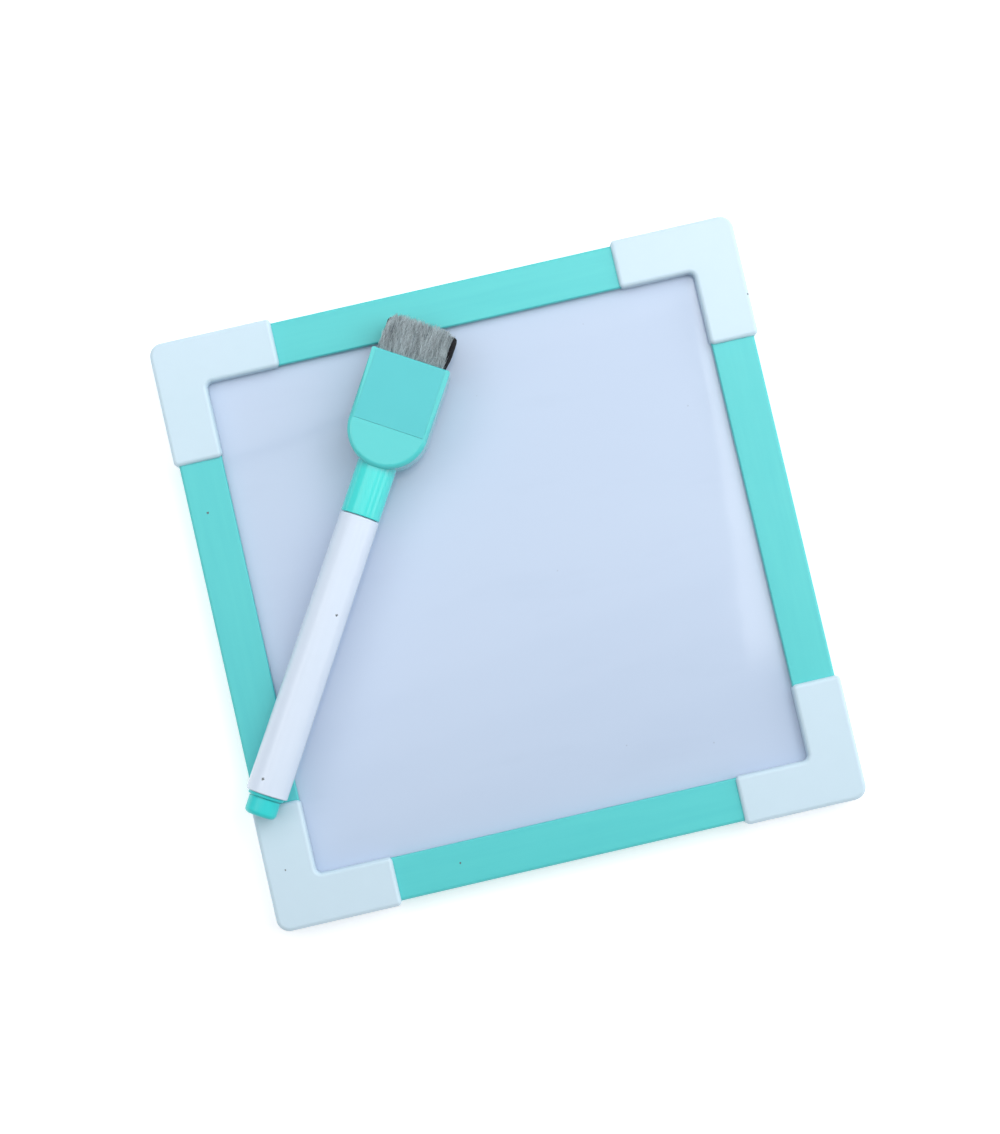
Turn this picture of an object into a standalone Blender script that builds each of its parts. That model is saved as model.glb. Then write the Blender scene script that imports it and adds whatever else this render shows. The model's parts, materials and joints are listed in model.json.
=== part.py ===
"""Small square dry-erase board in a plastic frame, with a marker lying across it.

The marker's cap is a flat paddle that holds an eraser. Metres, +Z up. The board lies on its back with
its centre at the origin, its writing side faces +Z, and its corner caps rest on z = 0.
"""

import math

import bmesh
import bpy

# ---- Board: driving dimensions in metres ----
BOARD_SIDE = 0.1800
CAP_ARM_WIDTH = 0.0148
CAP_ARM_LENGTH = 0.0345
CAP_HEIGHT = 0.0108
CAP_WALL = 0.0011
CAP_OUTER_RADIUS = 0.0040
CAP_INNER_RADIUS = 0.0018
CAP_END_RADIUS = 0.0011
CAP_EDGE_ROUND = 0.0009
SOCKET_DEPTH = 0.0080
TONGUE_REACH = 0.0110

RAIL_INSET = 0.0013
RAIL_WIDTH = 0.0131
RAIL_LOW = 0.0014
RAIL_HIGH = 0.0094
RAIL_WALL = 0.0012
RAIL_CHAMBER = 0.0052
RAIL_EDGE_ROUND = 0.0009

PANEL_BACK = 0.0031
PANEL_FACE = 0.0065
SHEET_THICKNESS = 0.0004
GLUE_LINE = 0.0001

GAP = 0.0003

# ---- Marker: driving dimensions in metres, +Y along it towards the eraser, y = 0 at the cap's lip ----
MARKER_PLACE = (-0.0390, 0.0251, 0.0161)
MARKER_YAW = -31.35

BARREL_LENGTH = 0.0865
BARREL_FRONT_RADIUS = 0.0060
BARREL_REAR_RADIUS = 0.00636
BORE_RADIUS = 0.0049

PLUG_FLANGE = 0.0008
PLUG_FLANGE_RADIUS = 0.0054
PLUG_LENGTH = 0.0067
PLUG_RADIUS = 0.0048
PLUG_SPIGOT = 0.0055

HOLDER_RADIUS = 0.0046
HOLDER_BACK = -0.0140
NECK_END = 0.0125
NECK_TIP_RADIUS = 0.0032
NIB_RADIUS = 0.0022
NIB_STEM_RADIUS = 0.0016
NIB_END = 0.0190
NIB_TAIL = -0.0210

PADDLE_TIP = 0.0150
PADDLE_TOP = 0.0488
PADDLE_WIDTH = 0.0243
PADDLE_FACE = 0.0072
PADDLE_BACK = -0.0065
PADDLE_ROUND = 0.0015
PADDLE_RIM = 0.0018
PLATE_THICKNESS = 0.0012
SLEEVE_DEPTH = 0.0262

ERASER_WIDTH = 0.0216
ERASER_FRONT = 0.0044
ERASER_BACK = -0.0052
ERASER_END = 0.0602
ERASER_ROOT = 0.0371
PILE_WIDTH = 0.0194
PILE_THICKNESS = 0.0010
PILE_LEFT_INSET = 0.0002

MAGNET_START = 0.0289
MAGNET_END = 0.0351
MAGNET_WIDTH = 0.0164
MAGNET_THICKNESS = 0.0024

MINT = (0.13, 0.70, 0.66)
BRIGHT_MINT = (0.08, 0.76, 0.68)
PALE_BLUE_WHITE = (0.66, 0.84, 0.95)
PANEL_WHITE = (0.62, 0.74, 0.92)
BARREL_WHITE = (0.70, 0.82, 0.94)
HARDBOARD = (0.23, 0.13, 0.07)
SMOOTH_ANGLE = math.radians(38)
ROUND_SIDES = 32
HIDDEN_SIDES = 20


# ---- Scene and material helpers ----
def clear_scene():
    for old in list(bpy.data.objects):
        bpy.data.objects.remove(old, do_unlink=True)


def make_material(name, color, roughness, metallic=0.0):
    material = bpy.data.materials.new(name)
    material.use_nodes = True
    shader = material.node_tree.nodes["Principled BSDF"]
    shader.inputs["Base Color"].default_value = (*color, 1.0)
    shader.inputs["Roughness"].default_value = roughness
    shader.inputs["Metallic"].default_value = metallic
    return material


def place(name, mesh, material, parent=None):
    """A named object of this mesh. With a parent, the mesh is in the parent's own frame."""
    piece = bpy.data.objects.new(name, mesh)
    bpy.context.scene.collection.objects.link(piece)
    piece.parent = parent
    if material is not None:
        mesh.materials.clear()
        mesh.materials.append(material)
    return piece


def make_frame(name, location=(0.0, 0.0, 0.0), yaw=0.0, parent=None):
    frame = bpy.data.objects.new(name, None)
    bpy.context.scene.collection.objects.link(frame)
    frame.parent = parent
    frame.location = location
    frame.rotation_euler = (0.0, 0.0, math.radians(yaw))
    return frame


def finished(bm, name):
    """The mesh of this bmesh, faces pointing out and round stretches shaded smooth."""
    bmesh.ops.recalc_face_normals(bm, faces=bm.faces)
    mesh = bpy.data.meshes.new(name)
    bm.to_mesh(mesh)
    bm.free()
    mesh.shade_smooth()
    mesh.set_sharp_from_angle(angle=SMOOTH_ANGLE)
    return mesh


def combined(name, base, cuts=(), unions=()):
    """The mesh left when the unions are joined to the base mesh and the cuts are taken from it."""
    body = place(name + "_base", base, None)
    helpers = []
    for operation, meshes in (("UNION", unions), ("DIFFERENCE", cuts)):
        for index, mesh in enumerate(meshes):
            helper = place(f"{name}_{operation.lower()}_{index}", mesh, None)
            helper.hide_render = True
            helper.display_type = "WIRE"
            boolean = body.modifiers.new(helper.name, "BOOLEAN")
            boolean.operation = operation
            boolean.object = helper
            helpers.append(helper)
    bpy.context.view_layer.update()
    evaluated = body.evaluated_get(bpy.context.evaluated_depsgraph_get())
    result = bpy.data.meshes.new_from_object(evaluated)
    result.name = name
    for used in [body, *helpers]:
        bpy.data.objects.remove(used, do_unlink=True)
    result.shade_smooth()
    result.set_sharp_from_angle(angle=SMOOTH_ANGLE)
    return result


# ---- Shape helpers ----
def arc(center, radius, start, end, steps):
    """Points on a circle from the start angle to the end angle, in degrees."""
    angles = [math.radians(start + (end - start) * i / steps) for i in range(steps + 1)]
    return [(center[0] + radius * math.cos(a), center[1] + radius * math.sin(a)) for a in angles]


def prism(name, outline, low, high, axis="Z", rounding=0.0, keep_sharp=None, segments=3):
    """The outline pushed from low to high. Axis Z takes (x, y) points, and axis X takes (y, z) points.

    The rims are rounded, apart from the edges that keep_sharp picks out.
    """
    order = {"Z": lambda u, v, w: (u, v, w), "X": lambda u, v, w: (w, u, v)}[axis]
    bm = bmesh.new()
    floor = bm.faces.new([bm.verts.new(order(u, v, low)) for u, v in outline])
    extruded = bmesh.ops.extrude_face_region(bm, geom=[floor])
    lifted = [item for item in extruded["geom"] if isinstance(item, bmesh.types.BMVert)]
    bmesh.ops.translate(bm, verts=lifted, vec=order(0.0, 0.0, high - low))
    if rounding:
        caps = [face for face in bm.faces if len(face.verts) == len(outline)]
        rims = {edge for face in caps for edge in face.edges}
        if keep_sharp is not None:
            rims = {edge for edge in rims if not keep_sharp(edge)}
        bmesh.ops.bevel(bm, geom=list(rims), offset=rounding, segments=segments, affect="EDGES")
    return finished(bm, name)


def box(name, low, high):
    outline = [(low[0], low[1]), (high[0], low[1]), (high[0], high[1]), (low[0], high[1])]
    return prism(name, outline, low[2], high[2])


def turned(name, profile, sides=ROUND_SIDES, closed=False):
    """The profile of (radius, y) points turned about the Y axis. An open one starts and ends at radius 0."""
    bm = bmesh.new()
    rings = []
    for radius, y in profile:
        if radius == 0.0:
            rings.append([bm.verts.new((0.0, y, 0.0))])
            continue
        angles = [2 * math.pi * i / sides for i in range(sides)]
        rings.append([bm.verts.new((radius * math.cos(a), y, radius * math.sin(a))) for a in angles])
    pairs = list(zip(rings, rings[1:]))
    if closed:
        pairs.append((rings[-1], rings[0]))
    for first, second in pairs:
        for i in range(sides):
            j = (i + 1) % sides
            corners = [first[i % len(first)], first[j % len(first)]]
            corners += [second[j % len(second)], second[i % len(second)]]
            bm.faces.new(list(dict.fromkeys(corners)))
    return finished(bm, name)


# ---- Board ----
def panel_box(name, low, high):
    """One layer of the panel. Its edges sit in the rails' slots."""
    slot_bottom = RAIL_INSET + 2 * RAIL_WALL + RAIL_CHAMBER
    half = BOARD_SIDE / 2 - slot_bottom - GAP
    return box(name, (-half, -half, low), (half, half, high))


def make_panel(materials):
    sheet_low = PANEL_FACE - SHEET_THICKNESS
    back_high = PANEL_BACK + SHEET_THICKNESS
    core = (back_high + GLUE_LINE, sheet_low - GLUE_LINE)
    place("dry_erase_sheet", panel_box("dry_erase_sheet", sheet_low, PANEL_FACE), materials["sheet"])
    place("core_board", panel_box("core_board", *core), materials["core"])
    place("back_sheet", panel_box("back_sheet", PANEL_BACK, back_high), materials["back"])


def rail_section():
    """(y, z) points of a rail on the +Y side: a box on the outside and a slot for the panel inside."""
    outer = BOARD_SIDE / 2 - RAIL_INSET
    inner = outer - RAIL_WIDTH
    slot_bottom = outer - 2 * RAIL_WALL - RAIL_CHAMBER
    slot_low = PANEL_BACK - GAP
    slot_high = PANEL_FACE + GAP
    radius = RAIL_EDGE_ROUND
    small = RAIL_EDGE_ROUND / 2
    return [
        *arc((outer - radius, RAIL_LOW + radius), radius, -90, 0, 3),
        *arc((outer - radius, RAIL_HIGH - radius), radius, 0, 90, 3),
        *arc((inner + small, RAIL_HIGH - small), small, 90, 180, 2),
        (inner, slot_high),
        (slot_bottom, slot_high),
        (slot_bottom, slot_low),
        (inner, slot_low),
        *arc((inner + small, RAIL_LOW + small), small, 180, 270, 2),
    ]


def rail_half_length():
    return BOARD_SIDE / 2 - CAP_ARM_LENGTH + SOCKET_DEPTH - GAP


def chamber_box(name, shrink, start, end):
    """The rail's chamber on the +Y side between two x positions, smaller all round by shrink."""
    outer = BOARD_SIDE / 2 - RAIL_INSET - RAIL_WALL
    low = (start, outer - RAIL_CHAMBER + shrink, RAIL_LOW + RAIL_WALL + shrink)
    high = (end, outer - shrink, RAIL_HIGH - RAIL_WALL - shrink)
    return box(name, low, high)


def make_rails(materials):
    half = rail_half_length()
    solid = prism("rail_solid", rail_section(), -half, half, axis="X")
    mesh = combined("rail", solid, cuts=[chamber_box("chamber", 0.0, -2 * half, 2 * half)])
    for name, yaw in (("rail_top", 0), ("rail_left", 90), ("rail_bottom", 180), ("rail_right", 270)):
        rail = place(name, mesh.copy(), materials["rail"])
        rail.rotation_euler = (0.0, 0.0, math.radians(yaw))


def corner_outline():
    """(x, y) points of the corner cap at +X +Y: an L with round corners."""
    outer = BOARD_SIDE / 2
    inner = outer - CAP_ARM_WIDTH
    end = outer - CAP_ARM_LENGTH
    big, small, hollow = CAP_OUTER_RADIUS, CAP_END_RADIUS, CAP_INNER_RADIUS
    return [
        *arc((outer - big, outer - big), big, 0, 90, 6),
        *arc((end + small, outer - small), small, 90, 180, 3),
        *arc((end + small, inner + small), small, 180, 270, 3),
        *arc((inner - hollow, inner - hollow), hollow, 90, 0, 4),
        *arc((inner + small, end + small), small, 180, 270, 3),
        *arc((outer - small, end + small), small, 270, 360, 3),
    ]


def swapped(mesh):
    """A copy of the mesh with x and y exchanged."""
    bm = bmesh.new()
    bm.from_mesh(mesh)
    for vert in bm.verts:
        vert.co.x, vert.co.y = vert.co.y, vert.co.x
    return finished(bm, mesh.name + "_swapped")


def corner_mesh():
    """The corner cap at +X +Y: sockets that take two rails, tongues inside them, and the panel's slot."""
    outer = BOARD_SIDE / 2
    beyond = outer - CAP_ARM_LENGTH - GAP
    socket_end = outer - CAP_ARM_LENGTH + SOCKET_DEPTH
    solid = prism("corner_solid", corner_outline(), 0.0, CAP_HEIGHT, rounding=CAP_EDGE_ROUND)
    socket = box(
        "socket",
        (beyond - GAP, outer - CAP_ARM_WIDTH - GAP, RAIL_LOW - GAP),
        (socket_end, outer - RAIL_INSET + GAP, RAIL_HIGH + GAP),
    )
    slot_bottom = RAIL_INSET + 2 * RAIL_WALL + RAIL_CHAMBER
    slot = box(
        "panel_slot",
        (0.0, 0.0, PANEL_BACK - GAP),
        (outer - slot_bottom, outer - slot_bottom, PANEL_FACE + GAP),
    )
    tongue = chamber_box("tongue", GAP, socket_end - TONGUE_REACH, socket_end + CAP_WALL)
    hollowed = combined("corner_hollow", solid, cuts=[socket, swapped(socket), slot])
    return combined("corner_cap", hollowed, unions=[tongue, swapped(tongue)])


def make_corner_caps(materials):
    mesh = corner_mesh()
    corners = (("top_right", 0), ("top_left", 90), ("bottom_left", 180), ("bottom_right", 270))
    for corner, yaw in corners:
        cap = place("corner_cap_" + corner, mesh.copy(), materials["corner"])
        cap.rotation_euler = (0.0, 0.0, math.radians(yaw))


# ---- Marker ----
def make_barrel(materials, marker):
    rear, front = -BARREL_LENGTH, -GAP / 2
    ease = 0.0004
    profile = [
        (BARREL_REAR_RADIUS - ease, rear),
        (BARREL_REAR_RADIUS, rear + ease),
        (BARREL_FRONT_RADIUS, front - ease),
        (BARREL_FRONT_RADIUS - ease, front),
        (BORE_RADIUS, front),
        (BORE_RADIUS, rear),
    ]
    place("marker_barrel", turned("marker_barrel", profile, closed=True), materials["barrel"], marker)


def make_end_plug(materials, marker):
    """A stub with a thin flange outside the barrel, and a hollow spigot inside it."""
    seat = -BARREL_LENGTH - GAP
    flange_back = seat - PLUG_FLANGE
    end = -BARREL_LENGTH - PLUG_LENGTH
    rounding = 0.0014
    spigot_wall = 0.0012
    tip = arc((PLUG_RADIUS - rounding, end + rounding), rounding, -90, 0, 4)
    profile = [
        (0.0, end),
        *tip,
        (PLUG_RADIUS, flange_back),
        (PLUG_FLANGE_RADIUS, flange_back),
        (PLUG_FLANGE_RADIUS, seat),
        (HOLDER_RADIUS, seat),
        (HOLDER_RADIUS, seat + PLUG_SPIGOT),
        (HOLDER_RADIUS - spigot_wall, seat + PLUG_SPIGOT),
        (HOLDER_RADIUS - spigot_wall, seat),
        (0.0, seat),
    ]
    place("end_plug", turned("end_plug", profile), materials["marker_mint"], marker)


def make_ink_reservoir(materials, marker):
    """The fibre rod, with a hole in its front for the nib's tail."""
    radius = HOLDER_RADIUS - GAP
    back = -BARREL_LENGTH + PLUG_SPIGOT + GAP
    front = HOLDER_BACK - GAP
    hole_radius = NIB_STEM_RADIUS + GAP
    hole_back = NIB_TAIL - GAP
    profile = [(0.0, back), (radius, back), (radius, front), (hole_radius, front), (hole_radius, hole_back)]
    profile.append((0.0, hole_back))
    place("ink_reservoir", turned("ink_reservoir", profile, HIDDEN_SIDES), materials["fibre"], marker)


def make_nib_holder(materials, marker):
    """The section pressed into the barrel, with the neck that the cap slides over."""
    cone_start = 0.0090
    hole = NIB_STEM_RADIUS + GAP
    profile = [
        (hole, HOLDER_BACK),
        (HOLDER_RADIUS, HOLDER_BACK),
        (HOLDER_RADIUS, cone_start),
        (NECK_TIP_RADIUS, NECK_END),
        (hole, NECK_END),
    ]
    mesh = turned("nib_holder", profile, closed=True)
    place("nib_holder", mesh, materials["barrel"], marker)


def make_nib(materials, marker):
    """A felt bullet on a thin stem that reaches into the reservoir."""
    shoulder = NECK_END + GAP
    bullet = [
        (NIB_RADIUS * math.cos(a), NIB_END - NIB_RADIUS + NIB_RADIUS * math.sin(a))
        for a in (math.radians(90 * i / 4) for i in range(4))
    ]
    profile = [
        (0.0, NIB_TAIL),
        (NIB_STEM_RADIUS, NIB_TAIL),
        (NIB_STEM_RADIUS, shoulder),
        (NIB_RADIUS, shoulder),
        *bullet,
        (0.0, NIB_END),
    ]
    place("writing_nib", turned("writing_nib", profile, HIDDEN_SIDES), materials["nib"], marker)


# ---- Cap with its paddle and eraser ----
def paddle_mesh():
    """The paddle's solid: a half-round lower end, straight sides and a sharp upper end."""
    half = PADDLE_WIDTH / 2
    corner = 0.0006
    outline = [
        *arc((0.0, PADDLE_TIP + half), half, 180, 360, 24),
        *arc((half - corner, PADDLE_TOP - corner), corner, 0, 90, 2),
        *arc((corner - half, PADDLE_TOP - corner), corner, 90, 180, 2),
    ]
    top_zone = PADDLE_TOP - 2 * corner

    def at_top(edge):
        return all(vert.co.y > top_zone for vert in edge.verts)

    return prism(
        "paddle", outline, PADDLE_BACK, PADDLE_FACE, rounding=PADDLE_ROUND, keep_sharp=at_top, segments=3
    )


def paddle_groove():
    """Where the plate's lower edge crosses the paddle, at the centre of its half-round end."""
    return PADDLE_TIP + PADDLE_WIDTH / 2


def make_cap_body(materials, cap):
    sleeve_start = GAP / 2
    ease = 0.0003
    sleeve = turned(
        "sleeve",
        [
            (0.0, sleeve_start),
            (BARREL_FRONT_RADIUS - ease, sleeve_start),
            (BARREL_FRONT_RADIUS, sleeve_start + ease),
            (BARREL_FRONT_RADIUS, SLEEVE_DEPTH),
            (0.0, SLEEVE_DEPTH),
        ],
    )
    outside = -BORE_RADIUS
    bore_profile = [(0.0, outside), (BORE_RADIUS, outside), (BORE_RADIUS, SLEEVE_DEPTH), (0.0, SLEEVE_DEPTH)]
    bore = turned("bore", bore_profile)
    recess_half = PADDLE_WIDTH / 2 - PADDLE_RIM
    recess_floor = PADDLE_FACE - PLATE_THICKNESS - GAP
    above = PADDLE_TOP + PLATE_THICKNESS
    recess = box(
        "plate_recess",
        (-recess_half, paddle_groove(), recess_floor),
        (recess_half, above, PADDLE_FACE + PLATE_THICKNESS),
    )
    magnet_half = MAGNET_WIDTH / 2 + GAP
    bay = box(
        "magnet_bay",
        (-magnet_half, MAGNET_START - GAP, recess_floor - MAGNET_THICKNESS - GAP),
        (magnet_half, MAGNET_END + GAP, PADDLE_FACE),
    )
    pocket_half = ERASER_WIDTH / 2 + GAP
    pocket = box(
        "eraser_pocket",
        (-pocket_half, ERASER_ROOT - GAP, ERASER_BACK - GAP),
        (pocket_half, above, ERASER_FRONT + GAP),
    )
    mesh = combined("cap_body", paddle_mesh(), cuts=[bore, recess, bay, pocket], unions=[sleeve])
    place("cap_body", mesh, materials["cap"], cap)


def make_cap_plate(materials, cap):
    half = PADDLE_WIDTH / 2 - PADDLE_RIM - GAP
    low = (-half, paddle_groove() + GAP, PADDLE_FACE - PLATE_THICKNESS)
    mesh = box("cap_plate", low, (half, PADDLE_TOP, PADDLE_FACE))
    place("cap_plate", mesh, materials["cap"], cap)


def make_cap_magnet(materials, cap):
    top = PADDLE_FACE - PLATE_THICKNESS - GAP
    low = (-MAGNET_WIDTH / 2, MAGNET_START, top - MAGNET_THICKNESS)
    mesh = box("cap_magnet", low, (MAGNET_WIDTH / 2, MAGNET_END, top))
    place("cap_magnet", mesh, materials["magnet"], cap)


def make_cap_seal(materials, cap):
    """The soft cup at the bottom of the sleeve that closes round the nib."""
    wall = 0.0007
    mouth = NECK_END + GAP
    floor = SLEEVE_DEPTH - GAP
    outer = BORE_RADIUS - GAP
    profile = [(0.0, floor - wall), (outer - wall, floor - wall), (outer - wall, mouth), (outer, mouth)]
    profile += [(outer, floor), (0.0, floor)]
    place("cap_seal", turned("cap_seal", profile, HIDDEN_SIDES), materials["seal"], cap)


def bullnose(low, high, root, end):
    """(y, z) outline of a slab from the root to a half-round end."""
    radius = (high - low) / 2
    return [(root, low), *arc((end - radius, (low + high) / 2), radius, -90, 90, 8), (root, high)]


def make_eraser(materials, cap):
    """A foam block with a rounded end, and the strip of pile fabric that is folded over it."""
    half = ERASER_WIDTH / 2
    inset = PILE_THICKNESS + GAP
    core_low, core_high = ERASER_BACK + inset, ERASER_FRONT - inset
    core_outline = bullnose(core_low, core_high, ERASER_ROOT, ERASER_END - inset)
    core = prism("eraser_core", core_outline, -half, half, "X")
    place("eraser_core", core, materials["foam"], cap)

    left = -half + PILE_LEFT_INSET
    outer = bullnose(ERASER_BACK, ERASER_FRONT, ERASER_ROOT, ERASER_END)
    hollow_low, hollow_high = ERASER_BACK + PILE_THICKNESS, ERASER_FRONT - PILE_THICKNESS
    inner = bullnose(hollow_low, hollow_high, ERASER_ROOT, ERASER_END - PILE_THICKNESS)
    pile = prism("eraser_pile", outer + inner[::-1], left, left + PILE_WIDTH, "X")
    place("eraser_pile", pile, materials["pile"], cap)


def make_materials():
    return {
        "sheet": make_material("dry_erase_white", PANEL_WHITE, 0.12),
        "core": make_material("hardboard", HARDBOARD, 0.8),
        "back": make_material("back_white", PANEL_WHITE, 0.5),
        "rail": make_material("rail_mint", MINT, 0.35),
        "corner": make_material("corner_plastic", PALE_BLUE_WHITE, 0.3),
        "barrel": make_material("barrel_white", BARREL_WHITE, 0.2),
        "marker_mint": make_material("plug_mint", MINT, 0.3),
        "cap": make_material("cap_mint", BRIGHT_MINT, 0.35),
        "fibre": make_material("ink_fibre", (0.02, 0.02, 0.03), 0.9),
        "nib": make_material("nib_felt", (0.015, 0.015, 0.02), 0.9),
        "seal": make_material("seal_rubber", (0.75, 0.75, 0.72), 0.6),
        "magnet": make_material("magnet_steel", (0.35, 0.35, 0.36), 0.4, 1.0),
        "foam": make_material("black_foam", (0.012, 0.012, 0.014), 0.95),
        "pile": make_material("grey_pile", (0.30, 0.34, 0.35), 0.95),
    }


def main():
    clear_scene()
    materials = make_materials()
    make_panel(materials)
    make_rails(materials)
    make_corner_caps(materials)
    marker = make_frame("marker_frame", MARKER_PLACE, MARKER_YAW)
    make_barrel(materials, marker)
    make_end_plug(materials, marker)
    make_ink_reservoir(materials, marker)
    make_nib_holder(materials, marker)
    make_nib(materials, marker)
    cap = make_frame("cap_frame", parent=marker)
    make_cap_body(materials, cap)
    make_cap_plate(materials, cap)
    make_cap_magnet(materials, cap)
    make_cap_seal(materials, cap)
    make_eraser(materials, cap)


main()
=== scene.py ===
"""Looks for a small dry-erase board in a plastic frame, with a capped marker lying across it.

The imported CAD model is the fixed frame: metres, +Z up, the board on its back with its centre at the origin.
Board pieces are made in that frame. Marker pieces are made in the marker's own frame, whose +Y points along
the marker towards the eraser, with y = 0 at the cap's lip, and are placed by its matrix.
"""

import json
import math
import random

import bmesh
import bpy
from mathutils import Matrix, Vector, noise


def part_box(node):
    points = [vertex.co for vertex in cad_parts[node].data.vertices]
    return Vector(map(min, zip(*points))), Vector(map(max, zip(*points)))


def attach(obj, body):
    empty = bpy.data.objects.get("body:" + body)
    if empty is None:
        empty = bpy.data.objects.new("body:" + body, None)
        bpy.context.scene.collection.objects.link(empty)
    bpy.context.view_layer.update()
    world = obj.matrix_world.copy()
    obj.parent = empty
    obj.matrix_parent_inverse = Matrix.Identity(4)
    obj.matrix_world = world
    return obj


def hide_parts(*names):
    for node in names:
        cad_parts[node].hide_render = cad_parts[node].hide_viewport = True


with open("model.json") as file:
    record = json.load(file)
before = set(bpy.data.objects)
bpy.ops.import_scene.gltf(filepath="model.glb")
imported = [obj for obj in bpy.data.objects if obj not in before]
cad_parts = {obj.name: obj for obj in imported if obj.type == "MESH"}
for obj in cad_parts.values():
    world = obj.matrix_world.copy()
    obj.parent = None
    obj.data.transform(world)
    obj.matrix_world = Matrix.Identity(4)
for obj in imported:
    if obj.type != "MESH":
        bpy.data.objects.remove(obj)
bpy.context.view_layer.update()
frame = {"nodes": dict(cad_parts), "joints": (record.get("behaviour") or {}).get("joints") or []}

# ---- The marker's frame and the extents of its parts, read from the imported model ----
CAP_PULL = next(joint for joint in frame["joints"] if joint["name"] == "cap_pull")
MARKER_AXIS = Vector(CAP_PULL["axis"]).normalized()
MARKER_TURN = Matrix.Rotation(math.atan2(-MARKER_AXIS.x, MARKER_AXIS.y), 4, "Z")


def box_in(nodes, to_local):
    """(lowest, highest) corner of these CAD nodes in another frame."""
    points = [to_local @ vert.co for node in nodes for vert in frame["nodes"][node].data.vertices]
    low = Vector([min(point[i] for point in points) for i in range(3)])
    high = Vector([max(point[i] for point in points) for i in range(3)])
    return low, high


def marker_matrix():
    """The marker's frame: on the barrel's centre line, level with the joint between barrel and cap."""
    turned_back = MARKER_TURN.inverted()
    barrel_low, barrel_high = box_in(["marker_barrel"], turned_back)
    cap_low, _ = box_in(["cap_body"], turned_back)
    centre = (barrel_low + barrel_high) / 2
    lip = (barrel_high.y + cap_low.y) / 2
    return MARKER_TURN @ Matrix.Translation((centre.x, lip, centre.z))


MARKER = marker_matrix()


def marker_box(*nodes):
    return box_in(nodes, MARKER.inverted())


# ---- Board dimensions in metres ----
BOARD_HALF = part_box("corner_cap_top_right")[1].x
CAP_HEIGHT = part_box("corner_cap_top_right")[1].z
CAP_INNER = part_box("corner_cap_top_right")[0].x
RAIL_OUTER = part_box("rail_top")[1].y
RAIL_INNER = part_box("rail_top")[0].y
RAIL_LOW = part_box("rail_top")[0].z
RAIL_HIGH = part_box("rail_top")[1].z
RAIL_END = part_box("rail_top")[1].x
FILM_LOW, FILM_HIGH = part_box("dry_erase_sheet")
SLOT_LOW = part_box("back_sheet")[0].z - 0.0003
SLOT_HIGH = FILM_HIGH.z + 0.0003

ARM_WIDTH = 0.0148
CORNER_RADIUS = 0.0040
INSIDE_RADIUS = 0.0018
ARM_END_RADIUS = 0.0014
CORNER_RIM = 0.0013
SOCKET_DEPTH = 0.0080
SKIRT = 0.0003
RAIL_RIM = 0.0010
RAIL_LIP_RIM = 0.0005
RAIL_WALL = 0.0012
RAIL_CHAMBER = 0.0052
RAIL_STEP = 0.00006
RAIL_STEP_PLACE = 0.0042
RAIL_STEP_SLOPE = 0.0002
SLOT_BOTTOM = RAIL_OUTER - 2 * RAIL_WALL - RAIL_CHAMBER
SEAT = 0.00005

SMOOTH_ANGLE = math.radians(32)


# ---- Mesh helpers ----
def arc(center, radius, start, end, steps):
    """Points on a circle from the start angle to the end angle, in degrees."""
    angles = [math.radians(start + (end - start) * i / steps) for i in range(steps + 1)]
    return [(center[0] + radius * math.cos(a), center[1] + radius * math.sin(a)) for a in angles]


def add_object(name, bm, matrix=None):
    """An object of this bmesh, which is used up."""
    bmesh.ops.recalc_face_normals(bm, faces=bm.faces)
    mesh = bpy.data.meshes.new(name)
    bm.to_mesh(mesh)
    bm.free()
    piece = bpy.data.objects.new(name, mesh)
    bpy.context.scene.collection.objects.link(piece)
    if matrix is not None:
        piece.matrix_world = matrix
    return piece


def extruded(outline, low, high, axis="Z", rim=0.0, segments=5, sharp=None):
    """A bmesh of the outline pushed from low to high. Axis Z takes (x, y) points, and X takes (y, z).

    The rims are rounded, apart from the edges that sharp picks out.
    """
    order = {"Z": lambda u, v, w: (u, v, w), "X": lambda u, v, w: (w, u, v)}[axis]
    bm = bmesh.new()
    floor = bm.faces.new([bm.verts.new(order(u, v, low)) for u, v in outline])
    lifted = bmesh.ops.extrude_face_region(bm, geom=[floor])["geom"]
    verts = [item for item in lifted if isinstance(item, bmesh.types.BMVert)]
    bmesh.ops.translate(bm, verts=verts, vec=order(0.0, 0.0, high - low))
    if rim:
        caps = [face for face in bm.faces if len(face.verts) == len(outline)]
        edges = {edge for face in caps for edge in face.edges}
        edges = [edge for edge in edges if sharp is None or not sharp(edge)]
        bmesh.ops.bevel(bm, geom=edges, offset=rim, segments=segments, profile=0.5, affect="EDGES")
    return bm


def block(low, high):
    outline = [(low[0], low[1]), (high[0], low[1]), (high[0], high[1]), (low[0], high[1])]
    return extruded(outline, low[2], high[2])


def turned(profile, sides=96, closed=False):
    """A bmesh of the (radius, y) profile turned about the Y axis. An open one ends at radius 0 twice."""
    bm = bmesh.new()
    rings = []
    for radius, y in profile:
        if radius == 0.0:
            rings.append([bm.verts.new((0.0, y, 0.0))])
            continue
        angles = [2 * math.pi * i / sides for i in range(sides)]
        rings.append([bm.verts.new((radius * math.cos(a), y, radius * math.sin(a))) for a in angles])
    pairs = list(zip(rings, rings[1:]))
    if closed:
        pairs.append((rings[-1], rings[0]))
    for first, second in pairs:
        for i in range(sides):
            j = (i + 1) % sides
            corners = [first[i % len(first)], first[j % len(first)]]
            corners += [second[j % len(second)], second[i % len(second)]]
            bm.faces.new(list(dict.fromkeys(corners)))
    return bm


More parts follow.
